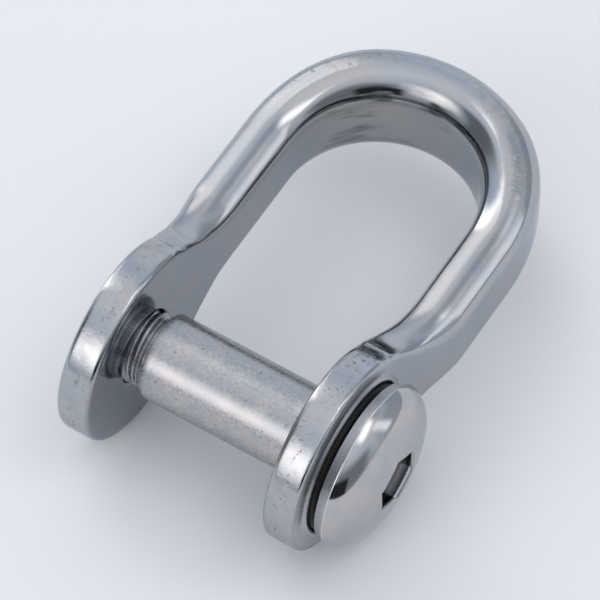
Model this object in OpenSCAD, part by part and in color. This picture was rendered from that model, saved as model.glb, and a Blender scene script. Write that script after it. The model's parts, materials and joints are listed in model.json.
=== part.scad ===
// Dee shackle with a hexagon socket screw pin and a rubber ring under the pin's head.
// The shackle lies flat: +X runs along the pin towards its head, +Y towards the crown, +Z up.
// The origin is on the pin's axis, midway between the inner faces of the two eyes.

/* [Jaw and eyes] */
// Clear width between the inner faces of the eyes
jaw_w = 17.5; // [16:0.5:19]
// Outer diameter of each eye
eye_d = 18.5; // [17.6:0.1:19]
// Thickness of each eye
eye_t = 3.2; // [2.9:0.1:3.6]
// Rounding of the eyes' edges
eye_edge = 0.4; // [0.3:0.1:0.8]
// Radial clearance of the hole that the pin slides through
slide_clearance = 0.1; // [0.02:0.02:0.1]
// Diameter of the counterbore that holds the rubber ring
counterbore_d = 14.2; // [14.2:0.1:14.5]
// Depth of the counterbore
counterbore_depth = 1.1; // [1:0.1:1.4]
// Width of the low raised lip round the counterbore
lip_w = 0.65; // [0.5:0.05:0.7]
// Height of that lip above the eye's outer face
lip_h = 0.3; // [0.2:0.05:0.4]

/* [Bow] */
// Distance from the pin's axis to the centre of the crown's arc
crown_y = 22.8; // [21:0.2:25]
// Half of the clear width between the legs
leg_in = 8.95; // [8.8:0.05:9.6]
// Thickness of each leg across the shackle
leg_t = 4.65; // [4:0.05:4.8]
// Depth of each leg, up and down, where it meets the crown
leg_depth = 8.4; // [8:0.1:9]
// Depth of the waist between a leg and its eye
waist_depth = 7.6; // [7:0.1:8]
// Thickness of the crown at its middle
crown_t = 5.95; // [5:0.05:6.5]
// Depth of the crown at its middle
crown_depth = 10.4; // [9:0.1:11]
// How far the bow sits towards the pin's head
bow_offset = 0.5; // [0:0.05:0.8]
// Squareness of the bow's section, from 2 for an ellipse upwards
section_power = 3; // [2.4:0.1:4]

/* [Pin] */
// Diameter of the shank
shank_d = 8; // [7.6:0.1:8.2]
// Outer diameter of the thread
thread_d = 6.9; // [6.5:0.1:7.1]
// Bare thread between the tapped eye and the shank
thread_bare = 1.6; // [1.2:0.1:2]
// Width of the shallow relief turned in the shank just inside the plain eye
relief_w = 0.7; // [0.6:0.05:0.9]
// Depth of that relief
relief_depth = 0.2; // [0.18:0.01:0.3]
// How far the pin's tip stays inside the tapped eye's outer face
tip_inset = 0.3; // [0.1:0.1:0.6]
// Radial clearance between the thread and its hole
thread_clearance = 0.05; // [0.02:0.01:0.1]
// Diameter of the head where it is widest
head_d = 15.5; // [15:0.1:16]
// Diameter of the head's underside
head_back_d = 14.8; // [14.4:0.1:14.9]
// Gap between the eye's outer face and the head's underside
head_gap = 0.9; // [0.8:0.1:1.2]
// Height of the head's flared rim
rim_h = 1; // [0.8:0.1:1.2]
// Radius of the head's rounded shoulder
shoulder_r = 3.1; // [2.8:0.1:3.3]
// Radius of the head's low dome
dome_r = 18; // [16:0.5:22]
// Width of the hexagon socket across its flats
hex_af = 5; // [4.5:0.5:5]
// Depth of the hexagon socket
hex_depth = 2.6; // [2:0.1:3]

/* [Rubber ring] */
// Outer diameter of the rubber ring
ring_d = 14; // [13.6:0.1:14.1]
// Rounding of the rubber ring's outer edges
ring_edge = 0.8; // [0.5:0.05:0.85]

/* [Hidden] */

round_fn = 96;
edge_fn = 32;
cut = 0.5;                                // how far a cutter runs past the face that it opens
fit_gap = 0.02;                           // gap between faces that rest on each other
jaw_half = jaw_w / 2;
eye_out = jaw_half + eye_t;               // the eyes' outer faces
shank_start = -jaw_half + thread_bare;
tip_x = -eye_out + tip_inset;
tip_chamfer = 0.6;
scribe_x = shank_start + 0.85;            // the fine line turned round the shank
scribe_w = 0.12;
scribe_depth = 0.05;
relief_x = jaw_half + 0.1;
head_x = eye_out + head_gap;              // the head's underside
floor_x = eye_out - counterbore_depth;    // the counterbore's floor
ring_hole_d = shank_d + 2 * 0.05;
hex_r = hex_af / 2 / cos(30);
drill_r = hex_af * 0.42;
drill_cone = 0.9;

// The head's outline, up from its underside.
shoulder_start = 15;                      // the shoulder's slope where it leaves the rim
edge_r = head_d / 2 - shoulder_r * cos(shoulder_start);
edge_y = rim_h - shoulder_r * sin(shoulder_start);
dome_y = edge_y - sqrt(pow(dome_r - shoulder_r, 2) - edge_r * edge_r);
dome_lean = asin(edge_r / (dome_r - shoulder_r));
head_h = dome_y + dome_r;

// The bow is a closed surface swept through these stations.
eye_overlap = 4.6;                        // where the sweep starts, inside the eye
neck_y = 7.5;                             // where the leg starts to leave the eye's planes
neck_run = 6;                             // how far it takes
leg_steps = 10;
crown_steps = 28;
section_steps = 24;
crown_blend = 60;                         // angle in which the leg's section becomes the crown's

function mix(a, b, t) = a + (b - a) * t;
function ease(t) = let (u = min(max(t, 0), 1)) u * u * (3 - 2 * u);
function leg_y(i) = mix(eye_overlap, crown_y, i / leg_steps);

// A station is [centre x, centre y, outward angle, thickness, depth].
function leg_station(side, y) =
    let (
        k = ease((y - neck_y) / neck_run),
        inner = mix(jaw_half + fit_gap, leg_in + side * bow_offset, k),
        outer = mix(eye_out - fit_gap, leg_in + leg_t + side * bow_offset, k)
    )
    [side * (inner + outer) / 2, y, side > 0 ? 0 : 180, outer - inner, mix(waist_depth, leg_depth, k)];

function crown_station(a) =
    let (
        k = ease(min(a, 180 - a) / crown_blend),
        t = mix(leg_t, crown_t, k),
        r = leg_in + t / 2
    )
    [bow_offset + r * cos(a), crown_y + r * sin(a), a, t, mix(leg_depth, crown_depth, k)];

stations = concat(
    [for (i = [0:leg_steps - 1]) leg_station(-1, leg_y(i))],
    [for (i = [0:crown_steps]) crown_station(180 - 180 * i / crown_steps)],
    [for (i = [leg_steps - 1:-1:0]) leg_station(1, leg_y(i))]
);

function super(v) = sign(v) * pow(abs(v), 2 / section_power);
function ring_points(s) = [
    for (i = [0:section_steps - 1])
        let (a = 360 * i / section_steps, out = s[3] / 2 * super(cos(a)))
        [s[0] + out * cos(s[2]), s[1] + out * sin(s[2]), s[4] / 2 * super(sin(a))]
];

bow_points = [for (s = stations) each ring_points(s)];
last_ring = (len(stations) - 1) * section_steps;
bow_faces = concat(
    [[for (i = [0:section_steps - 1]) i]],
    [
        for (r = [0:len(stations) - 2], i = [0:section_steps - 1])
            let (a = r * section_steps, j = (i + 1) % section_steps)
            [a + i, a + section_steps + i, a + section_steps + j, a + j]
    ],
    [[for (i = [section_steps - 1:-1:0]) last_ring + i]]
);

// Stands a shape drawn along +Z on the pin's axis, with its base at x.
module on_pin(x) {
    translate([x, 0, 0]) rotate([0, 90, 0]) children();
}

module rounded_disc(r, h, edge) {
    rotate_extrude($fn = round_fn) {
        square([r - edge, h]);
        translate([0, edge]) square([r, h - 2 * edge]);
        for (z = [edge, h - edge])
            translate([r - edge, z]) circle(r = edge, $fn = edge_fn);
    }
}

module eye(x) {
    on_pin(x) rounded_disc(eye_d / 2, eye_t, eye_edge);
}

module tapped_hole() {
    on_pin(-eye_out - cut) cylinder(d = thread_d + 2 * thread_clearance, h = eye_t + 2 * cut, $fn = round_fn);
}

module slide_hole() {
    on_pin(jaw_half - cut) cylinder(d = shank_d + 2 * slide_clearance, h = eye_t + 2 * cut, $fn = round_fn);
    on_pin(floor_x) cylinder(d = counterbore_d, h = counterbore_depth + cut, $fn = round_fn);
}

module lip() {
    foot_r = counterbore_d / 2 + lip_w;
    on_pin(eye_out - fit_gap)
        cylinder(r1 = foot_r, r2 = foot_r - 0.85 * lip_w, h = lip_h + fit_gap, $fn = round_fn);
}

module bow() {
    color([0.74, 0.76, 0.79])
        difference() {
            union() {
                polyhedron(points = bow_points, faces = bow_faces, convexity = 6);
                eye(-eye_out);
                eye(jaw_half);
                lip();
            }
            tapped_hole();
            slide_hole();
        }
}

// Half of the head's outline, drawn with its axis up the Y axis and its underside at zero.
module head_outline() {
    intersection() {
        union() {
            polygon([[0, 0], [head_back_d / 2, 0], [head_d / 2, rim_h], [0, rim_h]]);
            intersection() {
                translate([edge_r, edge_y]) circle(r = shoulder_r, $fn = round_fn);
                translate([0, rim_h]) square([head_d / 2, 2 * shoulder_r]);
            }
            polygon([
                [0, rim_h],
                [edge_r, rim_h],
                [edge_r + shoulder_r * sin(dome_lean), edge_y + shoulder_r * cos(dome_lean)],
                [0, edge_y + 2 * shoulder_r]
            ]);
        }
        translate([0, dome_y]) circle(r = dome_r, $fn = 4 * round_fn);
        square([head_d / 2, 2 * shoulder_r]);
    }
}

module hex_socket() {
    on_pin(head_x + head_h - hex_depth) cylinder(r = hex_r, h = hex_depth + cut, $fn = 6);
    on_pin(head_x + head_h - hex_depth - drill_cone)
        cylinder(r1 = 0.1, r2 = drill_r, h = drill_cone + fit_gap, $fn = round_fn);
}

// The stock that a turned groove takes from the shank.
module groove(x, w, depth) {
    on_pin(x)
        difference() {
            cylinder(d = shank_d + 1, h = w, $fn = round_fn);
            translate([0, 0, -cut]) cylinder(d = shank_d - 2 * depth, h = w + 2 * cut, $fn = round_fn);
        }
}

module screw_pin() {
    color([0.70, 0.71, 0.73])
        difference() {
            union() {
                on_pin(tip_x) cylinder(d1 = thread_d - 2 * tip_chamfer, d2 = thread_d, h = tip_chamfer, $fn = round_fn);
                on_pin(tip_x + tip_chamfer)
                    cylinder(d = thread_d, h = shank_start - tip_x - tip_chamfer, $fn = round_fn);
                on_pin(shank_start) cylinder(d = shank_d, h = head_x - shank_start, $fn = round_fn);
                on_pin(head_x) rotate_extrude($fn = round_fn) head_outline();
            }
            groove(scribe_x, scribe_w, scribe_depth);
            groove(relief_x, relief_w, relief_depth);
            hex_socket();
        }
}

module sealing_ring() {
    color([0.05, 0.05, 0.05])
        difference() {
            on_pin(floor_x + fit_gap)
                rounded_disc(ring_d / 2, counterbore_depth + head_gap - 2 * fit_gap, ring_edge);
            on_pin(floor_x - cut) cylinder(d = ring_hole_d, h = counterbore_depth + head_gap + 2 * cut, $fn = round_fn);
        }
}

bow();
screw_pin();
sealing_ring();
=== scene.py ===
"""The looks of a flat-lying dee shackle: a forged bow, its screw pin and the rubber ring under the pin's head."""

import json
import math

import bpy
import numpy as np
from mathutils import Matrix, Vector


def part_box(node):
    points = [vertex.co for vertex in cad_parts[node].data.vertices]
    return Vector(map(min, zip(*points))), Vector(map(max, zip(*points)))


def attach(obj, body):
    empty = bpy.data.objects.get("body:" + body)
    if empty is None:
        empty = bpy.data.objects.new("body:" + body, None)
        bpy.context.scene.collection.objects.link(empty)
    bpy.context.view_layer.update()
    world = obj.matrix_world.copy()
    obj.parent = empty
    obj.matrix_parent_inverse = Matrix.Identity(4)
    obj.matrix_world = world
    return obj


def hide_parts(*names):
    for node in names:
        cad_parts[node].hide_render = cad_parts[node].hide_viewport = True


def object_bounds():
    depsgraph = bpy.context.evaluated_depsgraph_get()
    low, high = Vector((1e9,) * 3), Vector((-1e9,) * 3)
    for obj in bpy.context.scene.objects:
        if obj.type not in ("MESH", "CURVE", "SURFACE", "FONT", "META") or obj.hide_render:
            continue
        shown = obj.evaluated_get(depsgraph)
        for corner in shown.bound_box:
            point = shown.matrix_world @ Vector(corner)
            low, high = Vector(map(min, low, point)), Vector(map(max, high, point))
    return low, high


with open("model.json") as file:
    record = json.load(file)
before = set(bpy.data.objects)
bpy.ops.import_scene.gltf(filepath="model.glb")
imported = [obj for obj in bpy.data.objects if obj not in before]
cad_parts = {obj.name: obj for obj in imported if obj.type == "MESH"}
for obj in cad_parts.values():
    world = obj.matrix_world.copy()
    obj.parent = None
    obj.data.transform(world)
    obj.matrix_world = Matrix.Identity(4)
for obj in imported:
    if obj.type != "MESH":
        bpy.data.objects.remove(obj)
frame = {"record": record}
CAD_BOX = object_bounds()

MM = 0.001

# ---------------------------------------------------------------- dimensions, in millimetres
# Those that the frame gives are read from it. X runs along the pin, and Y from the pin to the crown.


def node_box(node):
    """A CAD node's lowest and highest corners in millimetres."""
    low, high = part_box(node)
    return np.array(low) / MM, np.array(high) / MM


BOW_LOW, BOW_HIGH = node_box("bow")
PIN_LOW, PIN_HIGH = node_box("screw_pin")
RING_LOW, RING_HIGH = node_box("sealing_ring")
MOUNTS = {m["name"]: m for m in frame["record"]["mounts"]}

# the eyes
EYE_R = BOW_HIGH[2]
EYE_OUT = abs(MOUNTS["tapped_cheek"]["pos_m"][0]) / MM
EYE_T = 3.2
EYE_TOP = 5.5
JAW = EYE_OUT - EYE_T
RIM_CROWN = 0.05
CHEEK_FALL = 0.14
EYE_ROUND = 0.5
HOLE_EDGE = 0.3

# the pin
SHANK_R = MOUNTS["pin_bearing"]["dims"]["r_mm"]
SHANK_START = -JAW + 1.6
THREAD_R = 3.45
THREAD_DEPTH = 0.42
THREAD_GAP = 0.05
PITCH = 1.0
TIP = PIN_LOW[0]
RELIEF_X = JAW + 0.1
RELIEF_DEPTH = 0.2

# the pin's head, whose dome and shoulder are tangent arcs
HEAD_R = PIN_HIGH[2]
HEAD_BACK_R = HEAD_R - 0.35
HEAD_X = RING_HIGH[0] + 0.02
HEAD_TOP = PIN_HIGH[0] + 0.17
DOME_R = 18.0
DOME_X = HEAD_TOP - DOME_R
SHOULDER_R = 3.1
SHOULDER_START = math.radians(15)
SHOULDER_MIDDLE_R = HEAD_R - SHOULDER_R * math.cos(SHOULDER_START)
SHOULDER_X = DOME_X + math.sqrt((DOME_R - SHOULDER_R) ** 2 - SHOULDER_MIDDLE_R ** 2)
SHOULDER_END = math.asin(SHOULDER_MIDDLE_R / (DOME_R - SHOULDER_R))
RIM_X = SHOULDER_X + SHOULDER_R * math.sin(SHOULDER_START)
HEX_AF = 5.0
HEX_DEPTH = 2.6
HEX_MOUTH = HEX_AF + 0.28
MOUTH_DEPTH = 0.22

# the ring, its counterbore and the lip round that
RING_R = RING_HIGH[2]
RING_EDGE = 0.8
COUNTERBORE_R = RING_R + 0.1
COUNTERBORE_FLOOR = RING_LOW[0] - 0.02
LIP_R = COUNTERBORE_R + 0.65
LIP_H = 0.3
LIP_CURVE = 2.2
SLIDE_R = SHANK_R + 0.1

# the legs and the crown
BOW_OFFSET = (BOW_LOW[0] + BOW_HIGH[0]) / 2
LEG_T = 4.65
LEG_OUT = (BOW_HIGH[0] - BOW_LOW[0]) / 2
LEG_IN = LEG_OUT - LEG_T
LEG_DEPTH = 8.4
LEG_ARCH = 2.6
LEG_ROUND = 0.75
CROWN_T = 5.95
CROWN_DEPTH = 10.4
CROWN_ARCH = 4.2
CROWN_ROUND = 1.7
CROWN_BELLY = 0.7
CROWN_Y = BOW_HIGH[1] - LEG_IN - CROWN_T
CROWN_BLEND = math.radians(60)

# the necks, where a leg runs into an eye
NECK_Y = 6.2
NECK_RUN = 9.0
NECK_TOP = 11.0
NECK_FILLET = 1.3
ARCH_Y = 7.2
ARCH_RUN = 4.5
FLARE = 1.75
FLARE_END = 14.0
FLARE_RUN = 7.0

BOW_GRID = 0.2
LATHE_COUNT = 240
ANGLES = np.arange(LATHE_COUNT) * 2 * math.pi / LATHE_COUNT

# ---------------------------------------------------------------- shapes as signed distances


def mix(a, b, t):
    return a + (b - a) * t


def ease(t):
    t = np.clip(t, 0, 1)
    return t * t * (3 - 2 * t)


def join(a, b, k):
    """The union of two distances, with a fillet about k wide."""
    h = np.maximum(k - np.abs(a - b), 0) / k
    return np.minimum(a, b) - h * h * k / 4


def keep(a, b, k):
    """The intersection of two distances, with a rounding about k wide."""
    return -join(-a, -b, k)


def bow_distance(p):
    """The distance to the bow's surface at points given in millimetres, negative inside."""
    x, y, z = p[..., 0], p[..., 1], p[..., 2]
    depth = np.abs(z)
    radial = np.hypot(y, z)
    eye_middle = (JAW + EYE_OUT) / 2
    eye_half = (EYE_OUT - JAW) / 2
    crowned = radial - EYE_R + RIM_CROWN * np.minimum(((np.abs(x) - eye_middle) / eye_half) ** 2, 4)

    # across the legs, between their two flat sides
    side = np.where(x > BOW_OFFSET, 1.0, -1.0)
    spread = ease((y - NECK_Y) / NECK_RUN)
    inner = mix(JAW, LEG_IN + side * BOW_OFFSET, spread)
    outer = mix(EYE_OUT, LEG_OUT + side * BOW_OFFSET, spread)
    leg_u = side * x - (inner + outer) / 2
    leg_half = (outer - inner) / 2

    # across the crown, out from the arc's centre
    across, up, k = round_crown(x, y)
    crown_half = mix(LEG_T, CROWN_T, k) / 2
    crown_u = np.hypot(across, up) - (LEG_IN + crown_half)

    on_crown = y > CROWN_Y
    u = np.where(on_crown, crown_u, leg_u)
    half = np.where(on_crown, crown_half, leg_half)

    # the top, which arches across the bar and spreads towards the eye
    arch = mix(LEG_ARCH, CROWN_ARCH, k)
    rise = ease((y - ARCH_Y) / ARCH_RUN)
    neck = np.clip((FLARE_END - y) / FLARE_RUN, 0, 1)
    crest = mix(LEG_DEPTH, CROWN_DEPTH, k) / 2 + FLARE * neck * neck
    top = (depth - crest + rise * u * u / (2 * arch)) / np.sqrt(1 + (rise * u / arch) ** 2)
    outline = join(crowned, np.maximum(top, EYE_TOP - y), NECK_FILLET)
    outline = np.where(y > NECK_TOP, top, outline)

    # the sides, which bulge round the crown
    flank = np.abs(u) - half + CROWN_BELLY * k * (depth / crest) ** 2
    solid = keep(outline, flank, mix(mix(EYE_ROUND, LEG_ROUND, rise), CROWN_ROUND, k))

    # the tapped hole on the left and the plain one on the right
    tapped = np.maximum(radial - THREAD_R - THREAD_GAP, x)
    sliding = np.maximum(radial - SLIDE_R, -x)
    solid = keep(solid, -tapped, HOLE_EDGE)
    solid = keep(solid, -sliding, HOLE_EDGE)

    # the headed eye's face, which falls away from a low lip round the counterbore
    fall = CHEEK_FALL * np.maximum(radial - LIP_R, 0) * ease((EYE_TOP - y) / 4)
    on_face = (x > JAW + 1) & (y < EYE_TOP)
    solid = np.where(on_face, np.maximum(solid, x - EYE_OUT + fall), solid)
    climb = np.maximum(LIP_R - radial, 0) / (LIP_R - COUNTERBORE_R)
    lip = x - EYE_OUT - LIP_H * (1 - np.exp(-LIP_CURVE * climb)) / 0.89
    solid = np.where((x > EYE_OUT - 0.4) & (radial < LIP_R), np.maximum(lip, -0.4), solid)
    counterbore = keep(radial - COUNTERBORE_R, COUNTERBORE_FLOOR - x, HOLE_EDGE)
    return keep(solid, -counterbore, 0.25)


def round_crown(x, y):
    """The place across and up from the crown's centre, and how far it has turned from leg to crown."""
    across = x - BOW_OFFSET
    up = np.maximum(y - CROWN_Y, 0)
    return across, up, ease(np.arctan2(up, np.abs(across)) / CROWN_BLEND)


# ---------------------------------------------------------------- meshes


def slope(distance, points, h=0.01):
    """The distance's gradient, by central differences."""
    out = np.empty_like(points)
    for axis in range(3):
        step = np.zeros(3)
        step[axis] = h
        out[:, axis] = (distance(points + step) - distance(points - step)) / (2 * h)
    return out


def surface_nets(field, low, step):
    """Vertices and quads on the zero surface of a field sampled on a grid."""
    n = np.array(field.shape)
    cells = tuple(n - 1)
    total = np.zeros(cells + (3,), np.float32)
    count = np.zeros(cells, np.int16)
    grid = np.stack(np.meshgrid(*[np.arange(c, dtype=np.float32) for c in n], indexing="ij"), -1)
    crossings = []
    for axis in range(3):
        a = [slice(None)] * 3
        b = [slice(None)] * 3
        a[axis] = slice(0, -1)
        b[axis] = slice(1, None)
        f0, f1 = field[tuple(a)], field[tuple(b)]
        cross = (f0 < 0) != (f1 < 0)
        t = np.where(cross, f0 / np.where(cross, f0 - f1, 1), 0)
        place = grid[tuple(a)].copy()
        place[..., axis] += t
        place *= cross[..., None]
        others = [o for o in range(3) if o != axis]
        for i in (0, 1):
            for j in (0, 1):
                s = [slice(None)] * 3
                s[others[0]] = slice(i, n[others[0]] - 1 + i)
                s[others[1]] = slice(j, n[others[1]] - 1 + j)
                total += place[tuple(s)]
                count += cross[tuple(s)]
        crossings.append((axis, others, np.argwhere(cross), f0[cross] < 0))
    used = count > 0
    number = np.full(cells, -1, np.int64)
    number[used] = np.arange(used.sum())
    vertices = low + step * total[used] / count[used][:, None]
    quads = []
    for axis, others, where, rising in crossings:
        corner = []
        for i, j in ((0, 0), (1, 0), (1, 1), (0, 1)):
            c = where.copy()
            c[:, others[0]] -= 1 - i
            c[:, others[1]] -= 1 - j
            corner.append(number[c[:, 0], c[:, 1], c[:, 2]])
        quad = np.stack(corner, -1)
        flip = rising if axis == 1 else ~rising
        quad[flip] = quad[flip][:, ::-1]
        quads.append(quad)
    return vertices.astype(float), np.concatenate(quads)


def relax(vertices, quads, distance, rounds):
    """Evens out the quads along the surface and puts every vertex back on it."""
    edges = np.concatenate([quads[:, [i, (i + 1) % 4]] for i in range(4)])
    degree = np.bincount(edges.ravel(), minlength=len(vertices))
    for _ in range(rounds):
        total = np.zeros_like(vertices)
        for a, b in ((0, 1), (1, 0)):
            for axis in range(3):
                pull = vertices[edges[:, b], axis]
                total[:, axis] += np.bincount(edges[:, a], weights=pull, minlength=len(vertices))
        shift = total / degree[:, None] - vertices
        normal = slope(distance, vertices)
        normal /= np.maximum(np.linalg.norm(normal, axis=1), 1e-9)[:, None]
        shift -= (shift * normal).sum(1)[:, None] * normal
        vertices = vertices + 0.5 * shift
        vertices = settle(vertices, distance, 1)
    return settle(vertices, distance, 2)


def settle(vertices, distance, rounds):
    """Newton steps onto the surface, each of them short."""
    longest = 0.15
    for _ in range(rounds):
        g = slope(distance, vertices)
        size = np.maximum((g * g).sum(1), 0.05)
        move = -(distance(vertices) / size)[:, None] * g
        length = np.linalg.norm(move, axis=1)
        vertices = vertices + move * np.minimum(1, longest / np.maximum(length, 1e-9))[:, None]
    return vertices


def mesh_object(name, vertices, faces, material):
    """A smooth-shaded Blender object from points in millimetres."""
    mesh = bpy.data.meshes.new(name)
    mesh.from_pydata((np.asarray(vertices) * MM).tolist(), [], [list(map(int, f)) for f in faces])
    mesh.validate()
    mesh.polygons.foreach_set("use_smooth", [True] * len(mesh.polygons))
    mesh.materials.append(material)
    mesh.update()
    obj = bpy.data.objects.new(name, mesh)
    bpy.context.scene.collection.objects.link(obj)
    return obj


def make_bow(material):
    step = BOW_GRID
    low, high = BOW_LOW - 2 * step, BOW_HIGH + 2 * step
    axes = [np.arange(low[i], high[i] + step, step) for i in range(3)]
    field = np.empty([len(a) for a in axes], np.float32)
    for i, x in enumerate(axes[0]):
        yz = np.stack(np.meshgrid(axes[1], axes[2], indexing="ij"), -1)
        field[i] = bow_distance(np.concatenate([np.full(yz.shape[:2] + (1,), x), yz], -1))
    vertices, quads = surface_nets(field, low, step)
    vertices = relax(vertices, quads, bow_distance, 3)
    obj = mesh_object("forged_bow", vertices, quads, material)
    mark(obj, "pitted", pitted_places(vertices))
    # painted shade: the inner sides are marked for darkening, where the bow shades the floor that they reflect
    inner, scaled = inner_shade_and_scale_places(vertices)
    mark(obj, "inner", inner)
    mark(obj, "scaled", scaled)
    mark(obj, "turned", turned_places(vertices))
    return obj


def pitted_places(p):
    """Where the forging's pits were left: along the eyes' rims and the crown's upper outer side."""
    x, y, z = p[:, 0], p[:, 1], p[:, 2]
    middle = (JAW + EYE_OUT) / 2
    spread = 1.1
    on_rim = np.exp(-(((np.abs(x) - middle) / spread) ** 2)) * (np.hypot(y, z) > EYE_R - 0.5) * (y < 7.5)
    across = np.hypot(x - BOW_OFFSET, y - CROWN_Y) - LEG_IN
    on_crown = np.exp(-(((across - 0.62 * CROWN_T) / spread) ** 2)) * (np.abs(z) > 3.0)
    return np.clip(on_rim + on_crown * ease((y - CROWN_Y - 1) / 6), 0, 1)


def turned_places(p):
    """The headed eye's face, which was turned together with its counterbore; the material paints it lighter as a
    satin sheen.
    """
    x, y, z = p[:, 0], p[:, 1], p[:, 2]
    radial = np.hypot(y, z)
    on_face = (x > EYE_OUT - 0.35) & (x < EYE_OUT + 0.5)
    between = (radial < EYE_R - 0.35) & (radial > COUNTERBORE_R - 0.3)
    return on_face * between * ease((7.8 - y) / 2.5)


def inner_shade_and_scale_places(p):
    """The bow's inner sides, which the material darkens as painted shade, and the part of them under the crown,
    which gets forging streaks.
    """
    x, y = p[:, 0], p[:, 1]
    side = np.where(x > BOW_OFFSET, 1.0, -1.0)
    leg = side * x - mix(JAW, LEG_IN + side * BOW_OFFSET, ease((y - NECK_Y) / NECK_RUN))
    across, up, k = round_crown(x, y)
    away = np.where(y > CROWN_Y, np.hypot(across, up) - LEG_IN, leg)
    return 1 - ease((away - 0.12 - 0.6 * k) / 0.3), k * (1 - ease((away - 1.2) / 0.7))


def mark(obj, name, values):
    """Stores a number at each vertex for the material to read."""
    layer = obj.data.attributes.new(name, "FLOAT", "POINT")
    layer.data.foreach_set("value", np.asarray(values, np.float32))


def lathe(rings, closed=True):
    """Vertices and faces round the X axis. A ring is an (x, radius), plain or at every lathe angle."""
    count = LATHE_COUNT
    points = []
    for x, r in rings:
        x = np.broadcast_to(x, count)
        r = np.broadcast_to(r, count)
        points.append(np.stack([x, r * np.cos(ANGLES), r * np.sin(ANGLES)], -1))
    faces = []
    i = np.arange(count)
    j = (i + 1) % count
    for k in range(len(rings) - 1):
        a, b = k * count, (k + 1) * count
        faces += np.stack([a + i, a + j, b + j, b + i], -1).tolist()
    if closed:
        faces.append(list(range(count))[::-1])
        faces.append([(len(rings) - 1) * count + n for n in range(count)])
    return np.concatenate(points), faces


def arc(cx, cr, radius, start, end, steps):
    """Rings along an arc in the profile plane, angles in degrees from the +X axis."""
    turn = np.radians(np.linspace(start, end, steps))
    return [(cx + radius * math.cos(a), cr + radius * math.sin(a)) for a in turn]


def straight(start, end, radius, steps):
    """Rings along a cylinder, which keep its quads even."""
    return [(x, radius) for x in np.linspace(start, end, steps)]


def flat(x, start, end, steps):
    """Rings across a flat face."""
    return [(x, radius) for radius in np.linspace(start, end, steps)]


def hexagon(across_flats):
    """The radius of a hexagon at every lathe angle."""
    a = (ANGLES + math.pi / 6) % (math.pi / 3) - math.pi / 6
    return across_flats / 2 / np.cos(a)


def thread_ring(x, fade):
    """The radius round one ring of the thread, cut down by THREAD_DEPTH in a rounded V."""
    phase = (x / PITCH - ANGLES / (2 * math.pi)) % 1.0
    v = np.abs(phase - 0.5) * 2
    return THREAD_R - THREAD_DEPTH * ease((v - 0.12) / 0.70) * fade


def thread_rings():
    """The tip and the thread, which fades out before the shank and is chamfered at the tip."""
    rings = [(TIP, 1.0), (TIP, THREAD_R - 1.0), (TIP + 0.25, THREAD_R - 0.62)]
    fade_run = 0.45
    runout = SHANK_START - 0.25
    x = TIP + 0.3
    while x < SHANK_START - 0.04:
        fade = float(ease((runout - x) / fade_run)) if x > runout - fade_run else 1.0
        chamfer = THREAD_R - 0.55 + (x - TIP)
        rings.append((x, np.minimum(thread_ring(x, fade), chamfer)))
        x += PITCH / 24
    return rings


def shank_rings():
    """The shank, with a fine scribed line near the thread and a relief groove inside the headed eye."""
    edge = 0.12
    rings = [(SHANK_START - 0.02, THREAD_R), (SHANK_START, THREAD_R + 0.03), (SHANK_START, SHANK_R - edge)]
    rings += arc(SHANK_START + edge, SHANK_R - edge, edge, 180, 90, 5)[1:]
    scribe = SHANK_START + 0.91
    rings += [(scribe - 0.12, SHANK_R), (scribe, SHANK_R - 0.008), (scribe + 0.12, SHANK_R)]
    rings += straight(scribe + 0.2, RELIEF_X - 0.2, SHANK_R, 24)
    groove_r = SHANK_R - RELIEF_DEPTH
    for along, r in ((0, SHANK_R), (0.1, groove_r), (0.6, groove_r), (0.7, SHANK_R)):
        rings.append((RELIEF_X + along, r))
    rings += straight(RELIEF_X + 0.8, HEAD_X - 0.2, SHANK_R, 6)
    return rings


def head_rings():
    """The head's fillet, underside and flared rim, then its shoulder."""
    fillet, edge = 0.2, 0.12
    rings = arc(HEAD_X - fillet, SHANK_R + fillet, fillet, -90, 0, 5)[1:]
    rings += flat(HEAD_X, SHANK_R + 0.4, HEAD_BACK_R - edge, 12)
    rings += arc(HEAD_X + edge, HEAD_BACK_R - edge, edge, 180, 105, 5)[1:]
    for t in np.linspace(0, 1, 6):
        rings.append((mix(HEAD_X + 0.16, RIM_X - 0.05, t), mix(HEAD_BACK_R + 0.02, HEAD_R - 0.02, t)))
    start, end = 90 - math.degrees(SHOULDER_START), math.degrees(SHOULDER_END)
    return rings + arc(SHOULDER_X, SHOULDER_MIDDLE_R, SHOULDER_R, start, end, 40)


def dome_x(radius):
    return DOME_X + np.sqrt(DOME_R ** 2 - radius ** 2)


def dome_rings():
    """The dome, whose rings turn from rounds into hexagons towards the socket."""
    mouth = hexagon(HEX_MOUTH)
    rim = SHOULDER_MIDDLE_R + SHOULDER_R * math.sin(SHOULDER_END)
    rings = []
    for t in np.linspace(0, 1, 40)[1:]:
        round_r = mix(rim, mouth.mean(), t)
        r = mix(round_r, mouth * round_r / mouth.mean(), ease(np.array(t)) ** 2)
        rings.append((dome_x(r), r))
    return rings


def socket_rings():
    """The hexagon socket, with a chamfered mouth and the cone that its drill left."""
    mouth, wall = hexagon(HEX_MOUTH), hexagon(HEX_AF)
    face_x = dome_x(mouth)
    floor_x = HEAD_TOP - HEX_DEPTH
    rings = [(face_x - MOUTH_DEPTH * t, mix(mouth, wall, t)) for t in (0.4, 0.8, 1.0)]
    rings += [(mix(face_x - MOUTH_DEPTH, floor_x, t), wall) for t in np.linspace(0, 1, 8)[1:]]
    drill_r, drill_depth = HEX_AF * 0.42, 0.9
    rings += [(floor_x - 0.02, mix(wall, drill_r, 0.5)), (floor_x - 0.03, drill_r)]
    rings += [(floor_x - 0.03 - drill_depth * t, drill_r * (1 - t) + 0.02) for t in np.linspace(0.1, 1, 8)]
    return rings


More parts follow.
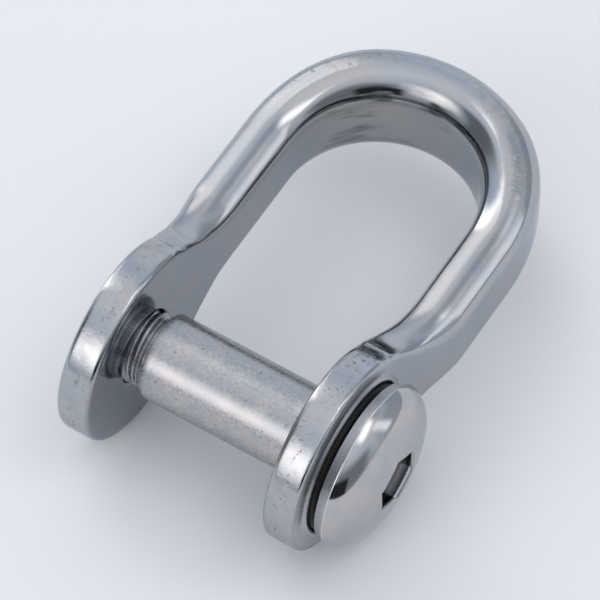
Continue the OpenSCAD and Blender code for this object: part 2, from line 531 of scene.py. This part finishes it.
def make_pin(material):
    vertices, faces = lathe(thread_rings() + shank_rings() + head_rings() + dome_rings() + socket_rings())
    obj = mesh_object("turned_pin", vertices, faces, material)
    x = vertices[:, 0]
    shank = x < HEAD_X + 0.05
    rim = (x > HEAD_X) & (x < RIM_X + 0.02)
    dome = mix(0.0, 0.35, ease((x - RIM_X - 1.0) / 1.2))
    mark(obj, "satin", np.where(shank, 1.0, np.where(rim, 0.6, dome)))
    # painted sheen: the head's rim is marked to be painted lighter
    mark(obj, "rim", np.where(rim, 0.8, 0.0))
    return obj


def make_ring(material):
    low, high = COUNTERBORE_FLOOR + 0.02, HEAD_X - 0.02
    hole, chamfer = SHANK_R + 0.05, 0.1
    mid = RING_R - RING_EDGE
    rings = [(low + chamfer, hole), (low, hole + chamfer)]
    rings += flat(low, hole + 0.3, mid, 8)
    rings += arc(low + RING_EDGE, mid, RING_EDGE, 180, 90, 16)[1:]
    rings += arc(high - RING_EDGE, mid, RING_EDGE, 90, 0, 16)
    rings += flat(high, mid, hole + 0.3, 8)[1:]
    rings += [(high, hole + chamfer), (high - chamfer, hole), (low + chamfer, hole)]
    vertices, faces = lathe(rings, closed=False)
    return mesh_object("rubber_ring", vertices, faces, material)


# ---------------------------------------------------------------- node trees and materials


class Nodes:
    """A node tree, with short ways to add to it. An item is an output or a plain value."""

    def __init__(self, tree):
        self.nodes, self.links = tree.nodes, tree.links

    def new(self, kind, **inputs):
        """A node with some inputs set, where an underscore stands for a space in a name."""
        node = self.nodes.new(kind)
        for key, value in inputs.items():
            node.inputs[key.replace("_", " ")].default_value = value
        return node

    def feed(self, slot, item):
        if hasattr(item, "links"):
            self.links.new(item, slot)
        else:
            slot.default_value = item

    def calculate(self, kind, operation, items):
        node = self.nodes.new(kind)
        node.operation = operation
        for slot, item in zip(node.inputs, items):
            self.feed(slot, item)
        return node

    def value(self, operation, *items):
        return self.calculate("ShaderNodeMath", operation, items).outputs[0]

    def vector(self, operation, *items):
        output = "Vector" if operation == "MULTIPLY" else "Value"
        return self.calculate("ShaderNodeVectorMath", operation, items).outputs[output]

    def plus(self, a, b):
        return self.value("ADD", a, b)

    def times(self, product, *others):
        for other in others:
            product = self.value("MULTIPLY", product, other)
        return product

    def ramp(self, source, low, high, bottom=0, top=1):
        """Maps a value smoothly from low..high to bottom..top."""
        node = self.new("ShaderNodeMapRange", From_Min=low, From_Max=high, To_Min=bottom, To_Max=top)
        node.interpolation_type = "SMOOTHSTEP"
        self.links.new(source, node.inputs["Value"])
        return node.outputs[0]

    def mix(self, under, over, mask):
        """One colour over another where the mask is 1."""
        node = self.nodes.new("ShaderNodeMix")
        node.data_type = "RGBA"
        self.links.new(mask, node.inputs["Factor"])
        for slot, colour in (("A", under), ("B", over)):
            self.feed(node.inputs[slot], (*colour, 1) if isinstance(colour, tuple) else colour)
        return node.outputs["Result"]


class Paint(Nodes):
    """A procedural material, from the object's own coordinates and the marks on its vertices."""

    def __init__(self, name):
        self.material = bpy.data.materials.new(name)
        self.material.use_nodes = True
        super().__init__(self.material.node_tree)
        self.shader = self.nodes["Principled BSDF"]
        self.coords = self.nodes.new("ShaderNodeTexCoord").outputs["Object"]

    def set(self, **inputs):
        """Feeds the shader's inputs, where an underscore stands for a space in a name."""
        for key, item in inputs.items():
            self.feed(self.shader.inputs[key.replace("_", " ")], item)

    def mark(self, name):
        node = self.nodes.new("ShaderNodeAttribute")
        node.attribute_name = name
        return node.outputs["Fac"]

    def noise(self, scale, detail=2.0, roughness=0.5, coords=None):
        """Noise whose scale counts its features in a metre."""
        node = self.new("ShaderNodeTexNoise", Scale=scale, Detail=detail, Roughness=roughness)
        self.links.new(coords or self.coords, node.inputs["Vector"])
        return node.outputs["Fac"]

    def tint(self, scale, cool, warm):
        """A slow drift between two tints."""
        return self.mix(cool, warm, self.ramp(self.noise(scale), 0.35, 0.65))

    def bump(self, height, distance, under=None):
        """A bump whose height is in millimetres for a value of one."""
        node = self.new("ShaderNodeBump", Strength=1.0, Distance=distance * MM)
        self.links.new(height, node.inputs["Height"])
        if under is not None:
            self.links.new(under, node.inputs["Normal"])
        return node.outputs["Normal"]


def turned_circles(paint):
    """Fine lines in circles round the pin's axis."""
    radius = paint.vector("LENGTH", paint.vector("MULTIPLY", paint.coords, (0, 1, 1)))
    lines = paint.new("ShaderNodeTexNoise", Scale=7000, Detail=2.0)
    lines.noise_dimensions = "1D"
    paint.links.new(radius, lines.inputs["W"])
    return paint.ramp(lines.outputs["Fac"], 0.46, 0.66)


def polished_steel():
    """Hand-polished stainless: a wavy mirror, pitted on its rims, with forging marks inside, painted shade
    darkening its inner sides and a painted sheen lightening its turned face.
    """
    paint = Paint("polished_stainless")
    times, plus = paint.times, paint.plus
    pitted, inner, scaled, turned = (paint.mark(name) for name in ("pitted", "inner", "scaled", "turned"))
    clusters = paint.ramp(paint.noise(520, 1), 0.46, 0.62)
    pit = times(paint.ramp(paint.noise(2700, 2), 0.585, 0.66), clusters, pitted)
    mottle = times(paint.ramp(paint.noise(1100, 3), 0.42, 0.68), pitted)
    along = paint.vector("MULTIPLY", paint.coords, (1, 1, 5))
    streak = times(paint.ramp(paint.noise(130, 3, 0.55, along), 0.54, 0.72), scaled)
    circles = times(turned_circles(paint), turned)

    colour = paint.tint(210, (0.425, 0.448, 0.480), (0.470, 0.460, 0.464))
    # painted sheen: the turned face is lighter, standing in for the shine of its satin finish
    colour = paint.mix(colour, (0.66, 0.66, 0.67), times(turned, 0.5))
    colour = paint.mix(colour, (0.22, 0.23, 0.24), times(circles, 0.35))
    # painted shade: the inner sides are darkened, standing in for the floor that the bow shades
    colour = paint.mix(colour, (0.20, 0.215, 0.235), times(inner, 0.27))
    colour = paint.mix(colour, (0.24, 0.25, 0.27), times(mottle, 0.22))
    colour = paint.mix(colour, (0.060, 0.062, 0.066), times(streak, 0.60))
    colour = paint.mix(colour, (0.13, 0.13, 0.14), times(pit, 0.50))

    rough = paint.ramp(paint.noise(900, 3), 0.3, 0.75, 0.09, 0.15)
    rough = plus(rough, times(mottle, 0.10))
    rough = plus(rough, times(turned, 0.24))
    rough = plus(rough, times(pit, 0.2))

    normal = paint.bump(paint.noise(190, 1), 0.05)
    normal = paint.bump(paint.noise(1400, 2), 0.0020, normal)
    normal = paint.bump(mottle, 0.007, normal)
    normal = paint.bump(paint.value("SUBTRACT", 0, pit), 0.014, normal)

    # the specular tint keeps grazing edges from shining too bright
    paint.set(Base_Color=colour, Metallic=1, Roughness=rough, Normal=normal, Specular_Tint=(0.80, 0.83, 0.88, 1))
    return paint.material


def pin_steel():
    """Turned stainless: satin where it is marked satin, grained on the shank, polished elsewhere, and painted
    lighter on the head's rim as a sheen.
    """
    paint = Paint("pin_stainless")
    times, plus = paint.times, paint.plus
    satin = paint.mark("satin")
    shank = paint.ramp(satin, 0.85, 1.0)
    grain = paint.noise(3400, 4, 0.65)
    blotch = times(paint.ramp(grain, 0.42, 0.62, 0.30, 0), shank)
    cells = paint.new("ShaderNodeTexVoronoi", Scale=1500)
    paint.links.new(paint.coords, cells.inputs["Vector"])
    speck = paint.ramp(cells.outputs["Distance"], 0.05, 0.25, 1, 0)
    speck = times(speck, paint.ramp(paint.noise(900, 1), 0.54, 0.62), shank)

    colour = paint.tint(420, (0.455, 0.467, 0.486), (0.525, 0.500, 0.500))
    colour = paint.mix(colour, (0.24, 0.245, 0.26), blotch)
    colour = paint.mix(colour, (0.10, 0.10, 0.11), times(speck, 0.7))
    # painted sheen: the head's rim is lighter, standing in for light it catches
    colour = paint.mix(colour, (0.74, 0.73, 0.74), paint.mark("rim"))

    rough = plus(0.075, times(satin, 0.18))
    rough = plus(rough, times(satin, paint.ramp(grain, 0.3, 0.7, -0.05, 0.08)))

    normal = paint.bump(paint.noise(260, 1), 0.012)
    normal = paint.bump(times(grain, satin), 0.016, normal)

    paint.set(Base_Color=colour, Metallic=1, Roughness=rough, Normal=normal, Specular_Tint=(0.90, 0.92, 0.95, 1))
    return paint.material


def black_rubber():
    """Dull black rubber with a fine grain."""
    paint = Paint("black_rubber")
    grain = paint.noise(1800, 3)
    colour = paint.tint(600, (0.006, 0.006, 0.006), (0.012, 0.010, 0.009))
    rough = paint.ramp(grain, 0.3, 0.7, 0.38, 0.55)
    paint.set(Base_Color=colour, Roughness=rough, Specular_IOR_Level=0.25, Normal=paint.bump(grain, 0.008))
    return paint.material


# ---------------------------------------------------------------- the pieces

bow = make_bow(polished_steel())
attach(bow, "bow")
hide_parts("bow")

pin = make_pin(pin_steel())
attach(pin, "pin")
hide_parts("screw_pin")

ring = make_ring(black_rubber())
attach(ring, "seal")
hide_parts("sealing_ring")

# ---------------------------------------------------------------- stage, light and camera


def make_floor(z):
    size = 0.6
    mesh = bpy.data.meshes.new("floor")
    corners = [(-size, -size, z), (size, -size, z), (size, size, z), (-size, size, z)]
    mesh.from_pydata(corners, [], [(0, 1, 2, 3)])
    paint = Paint("pale_floor")
    paint.set(Base_Color=(0.9, 0.9, 0.9, 1), Roughness=0.8)
    mesh.materials.append(paint.material)
    floor = bpy.data.objects.new("floor", mesh)
    bpy.context.scene.collection.objects.link(floor)


make_floor(CAD_BOX[0][2])


def heading(azimuth, elevation):
    """A direction; an azimuth is counted from +Y towards +X."""
    a, e = math.radians(azimuth), math.radians(elevation)
    return Vector((math.sin(a) * math.cos(e), math.cos(a) * math.cos(e), math.sin(e)))


class Sky(Nodes):
    """The studio, painted on the world by direction from a gradient and soft-edged panels."""

    def __init__(self):
        world = bpy.data.worlds.new("studio")
        bpy.context.scene.world = world
        world.use_nodes = True
        super().__init__(world.node_tree)
        self.nodes.clear()
        self.direction = self.nodes.new("ShaderNodeTexCoord").outputs["Generated"]

    def gradient(self, stops):
        """Colours by height, from -1 straight down to +1 straight up."""
        split = self.nodes.new("ShaderNodeSeparateXYZ")
        self.links.new(self.direction, split.inputs[0])
        ramp = self.nodes.new("ShaderNodeValToRGB")
        self.links.new(self.value("MULTIPLY_ADD", split.outputs["Z"], 0.5, 0.5), ramp.inputs[0])
        elements = ramp.color_ramp.elements
        while len(elements) > 1:
            elements.remove(elements[0])
        elements[0].position = (stops[0][0] + 1) / 2
        elements[0].color = (*stops[0][1], 1)
        for height, colour in stops[1:]:
            elements.new((height + 1) / 2).color = (*colour, 1)
        return ramp.outputs["Color"]

    def panel(self, azimuth, elevation, half_width, half_height, soft, tilt):
        """1 inside a rectangle facing the object and 0 outside; sizes in degrees."""
        middle = heading(azimuth, elevation)
        right = middle.cross(Vector((0, 0, 1))).normalized()
        up = right.cross(middle)
        t = math.radians(tilt)
        right, up = right * math.cos(t) + up * math.sin(t), up * math.cos(t) - right * math.sin(t)
        facing = self.vector("DOT_PRODUCT", self.direction, middle)
        ahead = self.value("MAXIMUM", facing, 0.001)
        edges = []
        for axis, half in ((right, half_width), (up, half_height)):
            off = self.value("DIVIDE", self.vector("DOT_PRODUCT", self.direction, axis), ahead)
            start, end = (math.tan(math.radians(angle)) for angle in (max(half - soft, 0), half + soft))
            edges.append(self.ramp(self.value("ABSOLUTE", off), start, end, 1, 0))
        return self.times(*edges, self.value("GREATER_THAN", facing, 0.01))

    def finish(self, studio, backdrop):
        """The camera sees a plain backdrop, and everything else sees the studio."""
        path = self.nodes.new("ShaderNodeLightPath")
        background = self.nodes.new("ShaderNodeBackground")
        colour = self.mix(studio, backdrop, path.outputs["Is Camera Ray"])
        self.links.new(colour, background.inputs["Color"])
        out = self.nodes.new("ShaderNodeOutputWorld")
        self.links.new(background.outputs[0], out.inputs["Surface"])


# height, then colour
GRADIENT = (
    (-1.0, (0.80, 0.79, 0.80)),
    (-0.01, (0.80, 0.79, 0.80)),
    (0.03, (0.50, 0.56, 0.64)),
    (0.30, (0.62, 0.70, 0.80)),
    (0.70, (0.72, 0.78, 0.87)),
    (0.90, (0.88, 0.92, 0.99)),
    (1.0, (1.0, 1.02, 1.06)),
)

# azimuth, elevation, half width, half height, softness and tilt in degrees, then colour
PANELS = (
    # dim and pale patches beyond the crown
    (32, 14, 32, 22, 14, 0, (0.42, 0.48, 0.55)),
    (16, 56, 15, 12, 8, 0, (0.50, 0.56, 0.64)),
    (-16, 18, 10, 16, 9, 0, (0.80, 0.86, 0.94)),
    # dark cards on the head's side, and a dim one on the other
    (125, 18, 32, 18, 10, 0, (0.25, 0.27, 0.30)),
    (150, 10, 20, 12, 4, 0, (0.03, 0.03, 0.035)),
    (-118, 22, 16, 26, 9, 0, (0.20, 0.21, 0.23)),
    # lamps: one high up and one before the eyes
    (66, 66, 15, 8, 7, 0, (2.3, 2.3, 2.32)),
    (-165, 28, 15, 14, 12, 0, (2.3, 2.22, 2.18)),
    # tall strips for the legs' streaks
    (-68, 28, 7, 34, 5, -8, (2.7, 2.66, 2.64)),
    (-53, 36, 7, 24, 6, 0, (1.40, 1.40, 1.42)),
    (56, 30, 6, 20, 5, 0, (1.35, 1.38, 1.44)),
)
BACKDROP = (0.9, 0.9, 0.9)

sky = Sky()
studio = sky.gradient(GRADIENT)
for *place, light in PANELS:
    studio = sky.mix(studio, light, sky.panel(*place))
sky.finish(studio, BACKDROP)
bpy.context.scene.view_settings.view_transform = "Standard"

VIEW_AZIMUTH = math.radians(31.99)
VIEW_ELEVATION = math.radians(57.12)
VIEW_DISTANCE = 0.458
AIM = Vector((0.353, 10.476, 1.115)) * MM
FOCAL_RATIO = 17.698667  # the focal length over half the picture's width


def make_camera():
    """A camera at the photo's viewing angle."""
    toward = Vector((
        math.sin(VIEW_AZIMUTH) * math.cos(VIEW_ELEVATION),
        -math.cos(VIEW_AZIMUTH) * math.cos(VIEW_ELEVATION),
        math.sin(VIEW_ELEVATION),
    ))
    data = bpy.data.cameras.new("camera")
    data.angle = 2 * math.atan(1 / FOCAL_RATIO)
    camera = bpy.data.objects.new("camera", data)
    camera.location = AIM + toward * VIEW_DISTANCE
    camera.rotation_euler = (-toward).to_track_quat("-Z", "Y").to_euler()
    bpy.context.scene.collection.objects.link(camera)
    bpy.context.scene.camera = camera


make_camera()
